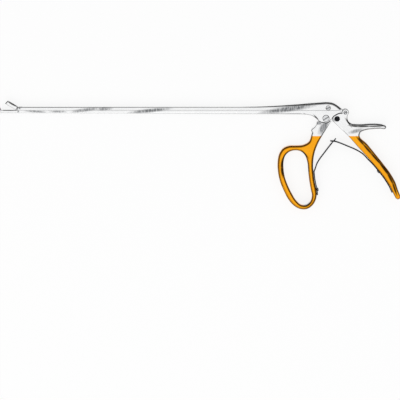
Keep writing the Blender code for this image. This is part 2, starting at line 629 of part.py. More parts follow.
def build_upper_jaw(frame):
    """Window jaw: drawn closed about its pivot, then swung open."""
    front = BASKET_FRONT_X + JAW_CLEARANCE - JAW_PIVOT_X
    back = BASKET_FRONT_X + BASKET_LENGTH - JAW_REAR_GAP - JAW_PIVOT_X
    low = JAW_PIVOT_BELOW - JAW_SIT_DEPTH - SLIDE_GAP / 2
    high = low + JAW_THICKNESS
    half = BASKET_WIDTH / 2 - JAW_CLEARANCE
    side = [(front, low), (back, low), (back - JAW_RAKE, high), (front + JAW_RAKE + JAW_TIP_CHAMFER, high),
            (front + JAW_RAKE, high - JAW_TIP_CHAMFER)]
    bm = rounded_plate(side, half, FINE_EDGE, 1)
    pivot = (JAW_PIVOT_X, PARTING_Y - JAW_PIVOT_BELOW)

    def swing(mesh):
        return moved(mesh, *pivot, spin=-JAW_OPEN_DEG)

    obj = piece("upper_jaw", swing(bm), frame, pivot=pivot)
    drive_height = JAW_PIVOT_BELOW + JAW_DRIVE_ABOVE
    run = [rotate(p, JAW_OPEN_DEG) for p in cam_run((JAW_DRIVE_OPEN_X, drive_height), JAW_OPEN_DEG)]
    end_wall = JAW_PIN_RADIUS + JAW_PIN_CLEARANCE + TAIL_END_WALL
    tip = Vector(run[1]) * (1 + (end_wall - TAIL_RADIUS) / math.hypot(*run[1]))
    tail_half = TAIL_WIDTH / 2
    neck = [(back - 1.5, low + 0.15), (-0.3, -0.62), (0.55, 0.3), (-0.2, 1.5), (back - 0.4, high - 0.1),
            (back - 1.5, high - 0.1)]
    join(obj, "neck", swing(plate(neck, -tail_half, tail_half)))
    tail = thick_path([(0, 0), tuple(tip)], TAIL_RADIUS)
    join(obj, "tail", swing(plate(tail, TAIL_STEP - tail_half, tail_half - TAIL_STEP)))
    hole_radius = JAW_PIN_RADIUS + JAW_PIN_CLEARANCE
    cut(obj, "cam_slot", swing(plate(thick_path(run, hole_radius), -THROUGH, THROUGH)))
    cut(obj, "pivot_hole", swing(plate(circle((0, 0), hole_radius, 24), -THROUGH, THROUGH)))
    inset = WINDOW_WALL + WINDOW_WIDTH / 2
    ends = [(front + JAW_RAKE / 2 + inset, 0), (back - JAW_RAKE / 2 - inset, 0)]
    window = plate(thick_path(ends, WINDOW_WIDTH / 2), -high - OVER, -low + OVER)
    stand_up = Matrix.Rotation(math.radians(90), 3, "X")
    bmesh.ops.rotate(window, cent=(0, 0, 0), matrix=stand_up, verts=window.verts)
    cut(obj, "window", swing(window))
    return obj


def build_jaw_pins(frame):
    """The two plain pins of the upper jaw, just shorter than the bars are wide."""
    half = (SHAFT_WIDTH - PLAY) / 2
    places = {
        "jaw_pivot_pin": (JAW_PIVOT_X, PARTING_Y - JAW_PIVOT_BELOW),
        "jaw_drive_pin": (JAW_PIVOT_X + JAW_DRIVE_OPEN_X, PARTING_Y + JAW_DRIVE_ABOVE),
    }
    for name, centre in places.items():
        profile = [(0, -half), (JAW_PIN_RADIUS - FINE_EDGE, -half), (JAW_PIN_RADIUS, -half + FINE_EDGE),
                   (JAW_PIN_RADIUS, half - FINE_EDGE), (JAW_PIN_RADIUS - FINE_EDGE, half), (0, half)]
        piece(name, moved(turned(profile, 24), *centre), frame, roughness=0.35)


def front_handle_outline():
    """Side view of the stem and ring under the body's scallop, anticlockwise."""
    shoulder = [scalloped(degrees, SHOULDER_GAP) for degrees in range(-35, -156, -SCALLOP_STEP_DEG)]
    rest = smooth_path(STEM_FRONT + RING_OUTER + RING_BACK + STEM_BACK, EDGE_STEPS)
    return shoulder + [STEM_SHOULDER] + rest


def build_front_handle(frame):
    """Ring handle with its thin head, the drive arm above the pivot and the spring's seat."""
    outline = front_handle_outline()

    def rounding(y):
        return min(RING_OUTER_ROUNDING, STEM_RIM + STEM_RIM_GROWTH * max(0.0, STEM_RIM_START_Y - y))

    radii = [rounding(y) for _, y in outline]
    obj = piece("front_handle", rounded_plate(outline, BODY_WIDTH / 2, radii), frame, GOLD, 0.22)
    hole = smooth_path(RING_HOLE, EDGE_STEPS, closed=True)
    ring_cutter = rounded_plate(hole, BODY_WIDTH / 2 + RING_CUT_OVER, RING_INNER_ROUNDING, outwards=True)
    cut(obj, "finger_ring", ring_cutter)

    lean = math.degrees(math.atan2(DRIVE_Y, DRIVE_X))
    head = arc((DRIVE_X, DRIVE_Y), ARM_RADIUS, lean - 90, lean + 90, 10)
    head += arc((0, 0), HEAD_RADIUS, lean + 90, 180, 2) + HEAD_ROOT
    head += arc((0, 0), HEAD_RADIUS, -45, lean - 90, 5)
    join(obj, "head", plate(head, -HEAD_THICKNESS / 2, HEAD_THICKNESS / 2))
    cut(obj, "pivot_hole", plate(circle((0, 0), PIVOT_SHANK_RADIUS + PLAY), -THROUGH, THROUGH))
    run = cam_run((DRIVE_X, DRIVE_Y), HANDLE_SQUEEZE_DEG)
    slot = plate(thick_path(run, DRIVE_SHANK_RADIUS + PLAY, end_steps=12), -THROUGH, THROUGH)
    cut(obj, "cam_slot", slot)
    cut(obj, "spring_screw_hole", spring_screw_hole(spring_screw_place(ring_seat(), FRONT_SCREW_POINT)))
    return obj


def build_rear_handle(frame):
    """Fixed handle: forked head with the knuckle, hand-web spur and long grip."""
    seam = [(x + SEAM_GAP_X, y + SEAM_GAP_Y) for x, y in HEAD_SEAM[:-1]]
    knuckle = arc((KNUCKLE_X, KNUCKLE_Y), KNUCKLE_RADIUS, 195, -35, 14)
    back = smooth_path(SPUR + GRIP_BACK, EDGE_STEPS)
    crotch = EDGE_STEPS * (len(SPUR) - 1)
    middle = crotch + EDGE_STEPS * len(GRIP_BACK) // 2
    saddle, tip = EDGE_STEPS * SPUR_SADDLE_INDEX, EDGE_STEPS * SPUR_TIP_INDEX
    stretches = [
        (seam + knuckle, HEAD_RIM, HEAD_RIM),
        (back[:saddle], HEAD_RIM, SPUR_TOP_RIM),
        (back[saddle:tip], SPUR_TOP_RIM, SPUR_TIP_RIM),
        (back[tip:crotch], SPUR_TIP_RIM, SPUR_ROOT_RIM),
        (back[crotch:middle], SPUR_ROOT_RIM, GRIP_RIM),
        (back[middle:], GRIP_RIM, GRIP_END_RIM),
        (GRIP_END, GRIP_END_RIM, GRIP_END_RIM),
        (smooth_path(GRIP_SEAT + GRIP_FRONT, EDGE_STEPS), SPUR_TIP_RIM, HEAD_RIM),
    ]
    outline = [point for points, _, _ in stretches for point in points][::-1]
    radii = [radius for points, first, last in stretches for radius in ramp(first, last, len(points))][::-1]
    obj = piece("rear_handle", rounded_plate(outline, BODY_WIDTH / 2, radii), frame, GOLD, 0.22)

    fork = arc((FIXING_X, FIXING_Y), TONGUE_RADIUS + FORK_GAP, 180, 340, 12) + FORK_TOP
    cut(obj, "fork", plate(fork, -HEAD_THICKNESS / 2 - PLAY, HEAD_THICKNESS / 2 + PLAY))
    screw_hole(obj, "fixing", (FIXING_X, FIXING_Y), FIXING_HEAD_RADIUS, FIXING_SHANK_RADIUS)
    screw_hole(obj, "knuckle", (KNUCKLE_X, KNUCKLE_Y), KNUCKLE_HEAD_RADIUS, KNUCKLE_SHANK_RADIUS)
    cut(obj, "spring_screw_hole", spring_screw_hole(spring_screw_place(grip_seat(), REAR_SCREW_POINT)))
    return obj


def ring_seat():
    """Edge of the ring that the front leaf lies along, anticlockwise round the handle."""
    return smooth_path(RING_OUTER[-1:] + RING_BACK + STEM_BACK[:1], EDGE_STEPS)[EDGE_STEPS:-EDGE_STEPS]


def grip_seat():
    """Edge of the grip that the rear leaf lies along, anticlockwise round the handle."""
    return smooth_path(GRIP_SEAT + GRIP_FRONT[:1], EDGE_STEPS)[-EDGE_STEPS - 1::-1]


def leaf_line(seat, free):
    """Middle line of a leaf: along its seat at a small gap, then on through its free points."""
    line = offset_path(seat, [-(SPRING_SEAT_GAP + SPRING_THICKNESS / 2)] * len(seat), closed=False)
    if seat[0][1] > seat[-1][1]:
        line.reverse()
    return line[:-1] + smooth_path(line[-2:] + free, EDGE_STEPS)[EDGE_STEPS:]


def spring_screw_place(seat, point):
    """Centre on a leaf's middle line and outward direction of the screw at one point of its seat."""
    index = point * EDGE_STEPS
    along = (Vector(seat[index + 1]) - Vector(seat[index - 1])).normalized()
    outward = Vector((along.y, -along.x))
    centre = Vector(seat[index]) + outward * (SPRING_SEAT_GAP + SPRING_THICKNESS / 2)
    return centre, math.degrees(math.atan2(outward.y, outward.x))


def across(bm, place, spin):
    """Lay a turned piece down so that its axis points along spin in the drawing, at a place."""
    bmesh.ops.rotate(bm, cent=(0, 0, 0), matrix=Matrix.Rotation(math.radians(90), 3, "Y"), verts=bm.verts)
    return moved(bm, place.x, place.y, spin=spin)


def spring_screw_hole(screw):
    """Blind hole in a handle for its spring's screw, through the leaf too."""
    centre, spin = screw
    radius = SPRING_SCREW_RADIUS + PLAY
    depth = -SPRING_SCREW_DEPTH - SPRING_THICKNESS / 2 - PLAY
    profile = [(0, depth), (radius, depth), (radius, 2 * OVER), (0, 2 * OVER)]
    return across(turned(profile, 20), centre, spin)


def build_spring_screw(name, frame, screw):
    """Round-head screw that holds one leaf to its handle."""
    centre, spin = screw
    seat = SPRING_THICKNESS / 2 + SPRING_SCREW_SEAT_GAP
    end = -SPRING_SCREW_DEPTH - SPRING_THICKNESS / 2
    top = seat + SPRING_SCREW_HEAD_HEIGHT
    profile = [(0, end), (SPRING_SCREW_RADIUS, end), (SPRING_SCREW_RADIUS, seat), (SPRING_SCREW_HEAD, seat),
               (SPRING_SCREW_HEAD, seat + SPRING_SCREW_FLAT),
               (SPRING_SCREW_HEAD * 0.75, top - SCREW_HEAD_BREAK), (SPRING_SCREW_HEAD * 0.4, top), (0, top)]
    obj = piece(name, across(turned(profile, 24), centre, spin), frame, roughness=0.3)
    reach = SPRING_SCREW_HEAD + OVER
    slot = block((top - SPRING_SLOT_DEPTH, -reach, -SPRING_SLOT_HALF), (top + OVER, reach, SPRING_SLOT_HALF))
    cut(obj, "driver_slot", moved(slot, centre.x, centre.y, spin=spin))
    return obj


def build_springs(frame):
    """Two leaves screwed to the handles; the front one's tongue passes through the rear one's slot."""
    half = SPRING_WIDTH / 2
    front_screw = spring_screw_place(ring_seat(), FRONT_SCREW_POINT)
    rear_screw = spring_screw_place(grip_seat(), REAR_SCREW_POINT)
    low_y, high_y = REAR_SPRING_FREE[-3][1] - OVER, FRONT_SPRING_FREE[-1][1] + 2 * OVER
    front_line = leaf_line(ring_seat(), FRONT_SPRING_FREE)
    front = plate(thick_path(front_line, SPRING_THICKNESS / 2, round_ends=False), -half, half)
    obj = piece("front_spring", front, frame, TEMPERED, 0.3)
    shoulder = FRONT_SPRING_FREE[-3][0] + TONGUE_SHOULDER
    past_tip = FRONT_SPRING_FREE[-1][0] + 2 * OVER
    for side in (-1, 1):
        near, far = sorted((side * TONGUE_TIP_WIDTH / 2, side * (half + OVER)))
        cut(obj, f"tongue_side_{side + 2}", block((shoulder, low_y, near), (past_tip, high_y, far)))
    cut(obj, "screw_hole", spring_screw_hole(front_screw))

    rear_line = leaf_line(grip_seat(), REAR_SPRING_FREE)
    rear = plate(thick_path(rear_line, SPRING_THICKNESS / 2, round_ends=False), -half, half)
    obj = piece("rear_spring", rear, frame, TEMPERED, 0.3)
    crossing = FRONT_SPRING_FREE[-2][0]
    reach = TONGUE_TIP_WIDTH / 2 + TONGUE_SLOT_GAP
    slot_low = (crossing - TONGUE_SLOT_AHEAD, low_y, -reach)
    cut(obj, "tongue_slot", block(slot_low, (crossing + TONGUE_SLOT_BEHIND, high_y, reach)))
    cut(obj, "screw_hole", spring_screw_hole(rear_screw))
    build_spring_screw("front_spring_screw", frame, front_screw)
    build_spring_screw("rear_spring_screw", frame, rear_screw)


def build_screws(frame):
    """The four slotted screws across the body."""
    screw("pivot_screw", frame, (0, 0), PIVOT_HEAD_RADIUS, PIVOT_SHANK_RADIUS, PIVOT_SLOT_DEG)
    drive, fixing, knuckle = (DRIVE_X, DRIVE_Y), (FIXING_X, FIXING_Y), (KNUCKLE_X, KNUCKLE_Y)
    screw("drive_screw", frame, drive, DRIVE_HEAD_RADIUS, DRIVE_SHANK_RADIUS, DRIVE_SLOT_DEG)
    screw("rear_handle_screw", frame, fixing, FIXING_HEAD_RADIUS, FIXING_SHANK_RADIUS, FIXING_SLOT_DEG, BLACK,
          0.5)
    screw("tail_screw", frame, knuckle, KNUCKLE_HEAD_RADIUS, KNUCKLE_SHANK_RADIUS, KNUCKLE_SLOT_DEG)


def lay_down(frame):
    """Set the instrument on its side, with the middle of its box over the world origin."""
    bpy.context.view_layer.update()
    graph = bpy.context.evaluated_depsgraph_get()
    pieces = [obj for obj in frame.children if not obj.hide_render]
    corners = [obj.matrix_world @ Vector(c) for obj in pieces for c in obj.evaluated_get(graph).bound_box]
    low = Vector(min(c[axis] for c in corners) for axis in range(3))
    high = Vector(max(c[axis] for c in corners) for axis in range(3))
    frame.location = (-(low.x + high.x) / 2, -(low.y + high.y) / 2, -low.z)


def main():
    """Clear the scene, build every piece, and lay the instrument on its side."""
    for old in list(bpy.data.objects):
        bpy.data.objects.remove(old, do_unlink=True)
    frame = bpy.data.objects.new("lying_on_its_side", None)
    bpy.context.scene.collection.objects.link(frame)
    build_lower_bar(frame)
    build_top_bar(frame)
    build_upper_jaw(frame)
    build_jaw_pins(frame)
    build_front_handle(frame)
    build_rear_handle(frame)
    build_springs(frame)
    build_screws(frame)
    lay_down(frame)


main()
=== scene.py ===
"""Looks of the biopsy punch: polished and gold-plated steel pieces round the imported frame.

The instrument lies on its side on a pale sheet. X runs from the jaws to the handles, Y from
the finger ring up to the shaft, and Z is its thickness, in metres.
"""

import logging
import math
from dataclasses import dataclass
from enum import Enum

import bmesh
import bpy
from mathutils import Matrix, Vector
from mathutils.kdtree import KDTree


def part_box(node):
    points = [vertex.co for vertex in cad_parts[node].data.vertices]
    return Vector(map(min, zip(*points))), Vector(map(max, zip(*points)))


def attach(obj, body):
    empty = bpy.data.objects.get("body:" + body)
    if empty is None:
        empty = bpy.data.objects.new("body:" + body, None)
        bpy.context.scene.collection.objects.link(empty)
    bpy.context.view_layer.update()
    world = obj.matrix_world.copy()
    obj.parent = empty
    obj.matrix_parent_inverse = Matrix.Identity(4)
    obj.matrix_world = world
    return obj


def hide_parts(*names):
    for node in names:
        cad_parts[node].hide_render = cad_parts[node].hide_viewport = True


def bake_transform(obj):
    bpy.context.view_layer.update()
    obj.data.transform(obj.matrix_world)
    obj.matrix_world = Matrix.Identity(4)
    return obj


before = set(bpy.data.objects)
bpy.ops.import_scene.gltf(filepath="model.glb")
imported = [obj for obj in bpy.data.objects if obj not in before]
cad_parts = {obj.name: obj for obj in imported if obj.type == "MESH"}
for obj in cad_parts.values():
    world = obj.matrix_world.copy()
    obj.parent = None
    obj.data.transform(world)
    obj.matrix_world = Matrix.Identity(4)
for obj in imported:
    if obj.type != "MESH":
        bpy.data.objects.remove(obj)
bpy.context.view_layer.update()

MM = 0.001
PIVOT = sum(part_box("pivot_screw"), Vector()) / 2

# Outer share of a patch's radius over which it fades
PATCH_FADE = 0.6

logging.basicConfig(level=logging.INFO, format="%(message)s")
log = logging.getLogger("biopsy_punch")


class Body(Enum):
    """The moving groups of the instrument."""

    FIXED = "body"
    RING_HANDLE = "ring_handle"
    SLIDE = "slide"
    JAW = "jaw"


class Slot(Enum):
    """The material slots of the record."""

    SATIN = "satin_steel"
    PIN = "pin_steel"
    SCREW = "screw_steel"
    GOLD = "gold_plate"
    BLACK = "black_screw"
    SPRING = "spring_steel"


def linear_colour(code: str) -> tuple[float, float, float, float]:
    """Turn an sRGB hex colour into a linear one.

    Args:
        code: Six hex digits after a hash.

    Returns:
        Linear red, green and blue, with an alpha of one.
    """
    parts = [int(code[i:i + 2], 16) / 255 for i in (1, 3, 5)]
    red, green, blue = [c / 12.92 if c <= 0.04045 else ((c + 0.055) / 1.055) ** 2.4 for c in parts]
    return (red, green, blue, 1.0)


def add_node(tree: bpy.types.NodeTree, kind: str, settings: dict | None = None,
             links: dict | None = None) -> bpy.types.Node:
    """Add one shader node.

    Args:
        tree: Node tree that gets the node.
        kind: Blender's type name for the node.
        settings: Attribute name to value.
        links: Input name or number to either a socket to link or a value to set.

    Returns:
        The new node.
    """
    node = tree.nodes.new(kind)
    for name, value in (settings or {}).items():
        setattr(node, name, value)
    for name, value in (links or {}).items():
        if isinstance(value, bpy.types.NodeSocket):
            tree.links.new(value, node.inputs[name])
        else:
            node.inputs[name].default_value = value
    return node


@dataclass(frozen=True)
class Shade:
    """Soft patch of painted shade on a polished face, in millimetres from the pivot."""

    x: float
    y: float
    half_length: float
    half_width: float
    lean_degrees: float
    depth: float = 0.75

    def share(self, tree: bpy.types.NodeTree, place: bpy.types.NodeSocket) -> bpy.types.NodeSocket:
        """Draw the patch, full in its middle and fading to its edge.

        Args:
            tree: Node tree of the material.
            place: Object coordinates.

        Returns:
            The share of the patch.
        """
        middle = (PIVOT.x + self.x * MM, PIVOT.y + self.y * MM, 0)
        mapping = add_node(tree, "ShaderNodeMapping", {"vector_type": "TEXTURE"}, {
            "Vector": place, "Location": middle, "Rotation": (0, 0, math.radians(self.lean_degrees)),
            "Scale": (self.half_length * MM, self.half_width * MM, 1.0)})
        fade = add_node(tree, "ShaderNodeTexGradient", {"gradient_type": "SPHERICAL"}, {
            "Vector": mapping.outputs["Vector"]})
        deep = add_node(tree, "ShaderNodeMapRange", links={
            "Value": fade.outputs["Fac"], "From Max": PATCH_FADE, "To Max": self.depth})
        return deep.outputs["Result"]


def line_of_shades(points: tuple[tuple[float, float], ...], half_width: float,
                   depth: float = 0.95) -> tuple[Shade, ...]:
    """Follow a line through points with narrow patches that overlap at their ends.

    Args:
        points: Points of the line, in millimetres from the pivot.
        half_width: Half the width of the line.
        depth: Strength of the line.

    Returns:
        One patch for each pair of neighbouring points.
    """
    shades = []
    for (x, y), (next_x, next_y) in zip(points, points[1:]):
        run, rise = next_x - x, next_y - y
        shades.append(Shade((x + next_x) / 2, (y + next_y) / 2, math.hypot(run, rise), half_width,
                            math.degrees(math.atan2(rise, run)), depth))
    return tuple(shades)


def joined_shares(tree: bpy.types.NodeTree, place: bpy.types.NodeSocket,
                  shades: tuple[Shade, ...]) -> bpy.types.NodeSocket:
    """Lay several soft patches over each other, the strongest on top.

    Args:
        tree: Node tree of the material.
        place: Object coordinates.
        shades: The patches, at least one.

    Returns:
        The share of all the patches together.
    """
    total = shades[0].share(tree, place)
    for shade in shades[1:]:
        total = add_node(tree, "ShaderNodeMath", {"operation": "MAXIMUM"}, {
            0: total, 1: shade.share(tree, place)}).outputs["Value"]
    return total


@dataclass(frozen=True)
class PolishedSteel:
    """Stainless or tempered steel, ground and then polished by hand along the piece.

    The lines of the wheel stretch the reflections along X, and slow clouds of uneven polish
    keep the large faces from looking printed. Both the lines and the strokes of the hatching
    are drawn coarser than real ones, so that they show. Shades are soft grey patches of painted
    shade broken into strokes, flanks are painted dark lines where a rounded side turns away from
    the light, and rims are painted dark reflections along the edges, heavier on the side that
    rim_side points to.

    crevice_range is a range of ambient occlusion, wall_to_rim and rim_to_flat are ranges of the
    normal's share of Z, edge_bend is one of the cosine between the true and the bevelled normal,
    and hatch_range is one of the strokes' noise.
    """

    name: str
    light: str = "#F8F8F8"
    dark: str = "#E9EAEB"
    roughness: float = 0.15
    roughness_spread: tuple[float, float] = (0.75, 1.3)
    grind_mm: float = 0.35
    grind_run_mm: float = 14.0
    grind_depth_mm: float = 0.004
    grind_strength: float = 0.35
    cloud_mm: float = 9.0
    # Seams: painted shade, with the dark of old polish and oil, where ambient occlusion finds them closed
    # in
    crevice_mm: float = 0.7
    crevice_range: tuple[float, float] = (0.3, 0.95)
    crevice: str = "#2A2C2F"
    # Rims: painted dark reflection along the edges, heavier on the side that rim_side points to
    rim: str = "#111214"
    rim_side: tuple[float, float, float] = (0.35, 0.94, 0.0)
    rim_least: float = 0.8
    rim_side_fade: float = 0.2
    wall_to_rim: tuple[float, float] = (0.15, 0.35)
    rim_to_flat: tuple[float, float] = (0.955, 0.995)
    line_mm: float = 0.5
    edge_bend: tuple[float, float] = (0.86, 0.97)
    edge_samples: int = 6
    crevice_samples: int = 8
    shades: tuple[Shade, ...] = ()
    shade: str = "#55585C"
    flanks: tuple[Shade, ...] = ()
    flank: str = "#17140F"
    hatch_mm: float = 0.9
    hatch_stretch: float = 4.0
    hatch_degrees: float = 12.0
    hatch_range: tuple[float, float] = (0.3, 0.6)
    hatch_least: float = 0.45

    def start(self) -> tuple[bpy.types.Material, bpy.types.NodeTree, bpy.types.Node]:
        """Make the material with a metal shader that has no links yet.

        Returns:
            The material, its tree and its Principled shader.
        """
        material = bpy.data.materials.new(self.name)
        material.use_nodes = True
        tree = material.node_tree
        shader = tree.nodes["Principled BSDF"]
        shader.inputs["Metallic"].default_value = 1.0
        return material, tree, shader

    def polish(self, tree: bpy.types.NodeTree) -> tuple[bpy.types.NodeSocket, bpy.types.NodeSocket,
                                                        bpy.types.NodeSocket]:
        """Draw the wheel's lines and the slow clouds of the polish.

        Args:
            tree: Node tree of the material.

        Returns:
            Sockets with the cloud share, the line share and the bumped normal.
        """
        place = add_node(tree, "ShaderNodeTexCoord")
        lines_per_m = 1.0 / (self.grind_mm * MM)
        runs_per_m = 1.0 / (self.grind_run_mm * MM)
        mapping = add_node(tree, "ShaderNodeMapping", links={
            "Vector": place.outputs["Object"], "Scale": (runs_per_m, lines_per_m, lines_per_m)})
        lines = add_node(tree, "ShaderNodeTexNoise", links={
            "Vector": mapping.outputs["Vector"], "Scale": 1.0, "Detail": 3.0, "Roughness": 0.6})
        clouds = add_node(tree, "ShaderNodeTexNoise", links={
            "Vector": place.outputs["Object"], "Scale": 1.0 / (self.cloud_mm * MM), "Detail": 4.0,
            "Roughness": 0.55})
        bump = add_node(tree, "ShaderNodeBump", links={
            "Height": lines.outputs["Fac"], "Strength": self.grind_strength,
            "Distance": self.grind_depth_mm * MM})
        return clouds.outputs["Fac"], lines.outputs["Fac"], bump.outputs["Normal"]

    def shade_and_dirt(self, tree: bpy.types.NodeTree, colour: bpy.types.NodeSocket, dark: str
             ) -> bpy.types.NodeSocket:
        """Darken the seams and corners with painted shade where ambient occlusion finds them closed in, and
        with the polish and old oil that stay there.

        Args:
            tree: Node tree of the material.
            colour: Colour of the open surface.
            dark: Colour of a deep seam.

        Returns:
            The colour with its darker seams.
        """
        corner = add_node(tree, "ShaderNodeAmbientOcclusion", {"samples": self.crevice_samples}, {
            "Distance": self.crevice_mm * MM})
        deep, open_face = self.crevice_range
        spread = add_node(tree, "ShaderNodeMapRange", links={
            "Value": corner.outputs["AO"], "From Min": deep, "From Max": open_face})
        mixed = add_node(tree, "ShaderNodeMix", {"data_type": "RGBA"}, {
            0: spread.outputs["Result"], 6: linear_colour(dark), 7: colour})
        return mixed.outputs[2]

    def rims(self, tree: bpy.types.NodeTree, colour: bpy.types.NodeSocket, dark: str
             ) -> bpy.types.NodeSocket:
        """Paint dark reflections onto the rounded rims and the edges, heavier on one side, as the inked
        outline of a catalogue drawing does.

        Args:
            tree: Node tree of the material.
            colour: Colour of the flats and walls.
            dark: Colour of the painted dark reflection on a rim.

        Returns:
            The colour with its painted dark rims.
        """
        facing = add_node(tree, "ShaderNodeNewGeometry").outputs["True Normal"]
        parts = add_node(tree, "ShaderNodeSeparateXYZ", links={"Vector": facing})
        height = add_node(tree, "ShaderNodeMath", {"operation": "ABSOLUTE"}, {0: parts.outputs["Z"]})
        wall = add_node(tree, "ShaderNodeMapRange", {"interpolation_type": "SMOOTHSTEP"}, {
            "Value": height.outputs["Value"], "From Min": self.wall_to_rim[0],
            "From Max": self.wall_to_rim[1]})
        flat = add_node(tree, "ShaderNodeMapRange", {"interpolation_type": "SMOOTHSTEP"}, {
            "Value": height.outputs["Value"], "From Min": self.rim_to_flat[0],
            "From Max": self.rim_to_flat[1], "To Min": 1.0, "To Max": 0.0})
        rounded = add_node(tree, "ShaderNodeMath", {"operation": "MULTIPLY"}, {
            0: wall.outputs["Result"], 1: flat.outputs["Result"]})
        turned = add_node(tree, "ShaderNodeBevel", {"samples": self.edge_samples}, {
            "Radius": self.line_mm * MM})
        bend = add_node(tree, "ShaderNodeVectorMath", {"operation": "DOT_PRODUCT"}, {
            0: facing, 1: turned.outputs["Normal"]})
        line = add_node(tree, "ShaderNodeMapRange", links={
            "Value": bend.outputs["Value"], "From Min": self.edge_bend[0],
            "From Max": self.edge_bend[1], "To Min": 1.0, "To Max": 0.0})
        either = add_node(tree, "ShaderNodeMath", {"operation": "MAXIMUM"}, {
            0: rounded.outputs["Value"], 1: line.outputs["Result"]})
        side = add_node(tree, "ShaderNodeVectorMath", {"operation": "DOT_PRODUCT"}, {
            0: turned.outputs["Normal"], 1: self.rim_side})
        heavy = add_node(tree, "ShaderNodeMapRange", links={
            "Value": side.outputs["Value"], "From Min": -self.rim_side_fade,
            "From Max": self.rim_side_fade, "To Min": self.rim_least})
        share = add_node(tree, "ShaderNodeMath", {"operation": "MULTIPLY"}, {
            0: either.outputs["Value"], 1: heavy.outputs["Result"]})
        mixed = add_node(tree, "ShaderNodeMix", {"data_type": "RGBA"}, {
            0: share.outputs["Value"], 6: colour, 7: linear_colour(dark)})
        return mixed.outputs[2]

    def tone(self, tree: bpy.types.NodeTree, clouds: bpy.types.NodeSocket) -> bpy.types.NodeSocket:
        """Colour of the open surface, between its dark and its light polish, with its patches of painted
        shade.

        Args:
            tree: Node tree of the material.
            clouds: Share of the slow clouds.

        Returns:
            The colour socket.
        """
        mixed = add_node(tree, "ShaderNodeMix", {"data_type": "RGBA"}, {
            0: clouds, 6: linear_colour(self.dark), 7: linear_colour(self.light)})
        if not self.shades:
            return mixed.outputs[2]
        place = add_node(tree, "ShaderNodeTexCoord").outputs["Object"]
        total = joined_shares(tree, place, self.shades)
        strokes_per_m = 1.0 / (self.hatch_mm * MM)
        slant = add_node(tree, "ShaderNodeMapping", links={
            "Vector": place, "Rotation": (0, 0, math.radians(self.hatch_degrees)),
            "Scale": (strokes_per_m, strokes_per_m / self.hatch_stretch, strokes_per_m)})
        hatch = add_node(tree, "ShaderNodeTexNoise", links={
            "Vector": slant.outputs["Vector"], "Scale": 1.0, "Detail": 2.0})
        strokes = add_node(tree, "ShaderNodeMapRange", links={
            "Value": hatch.outputs["Fac"], "From Min": self.hatch_range[0],
            "From Max": self.hatch_range[1], "To Min": self.hatch_least})
        streaked = add_node(tree, "ShaderNodeMath", {"operation": "MULTIPLY"}, {
            0: total, 1: strokes.outputs["Result"]})
        shaded = add_node(tree, "ShaderNodeMix", {"data_type": "RGBA"}, {
            0: streaked.outputs["Value"], 6: mixed.outputs[2], 7: linear_colour(self.shade)})
        return shaded.outputs[2]

    def flanked(self, tree: bpy.types.NodeTree, colour: bpy.types.NodeSocket) -> bpy.types.NodeSocket:
        """Draw the dark lines where a rounded flank turns away from the light.

        Args:
            tree: Node tree of the material.
            colour: Colour of the surface without them.

        Returns:
            The colour with its dark flanks.
        """
        if not self.flanks:
            return colour
        place = add_node(tree, "ShaderNodeTexCoord").outputs["Object"]
        mixed = add_node(tree, "ShaderNodeMix", {"data_type": "RGBA"}, {
            0: joined_shares(tree, place, self.flanks), 6: colour, 7: linear_colour(self.flank)})
        return mixed.outputs[2]

    def material(self) -> bpy.types.Material:
        """Build the whole material.

        Returns:
            The finished material.
        """
        material, tree, shader = self.start()
        clouds, lines, normal = self.polish(tree)
        open_face = self.flanked(tree, self.rims(tree, self.tone(tree, clouds), self.rim))
        tree.links.new(self.shade_and_dirt(tree, open_face, self.crevice), shader.inputs["Base Color"])
        low, high = self.roughness_spread
        gloss = add_node(tree, "ShaderNodeMapRange", links={
            "Value": lines, "To Min": self.roughness * low, "To Max": self.roughness * high})
        tree.links.new(gloss.outputs["Result"], shader.inputs["Roughness"])
        tree.links.new(normal, shader.inputs["Normal"])
        return material


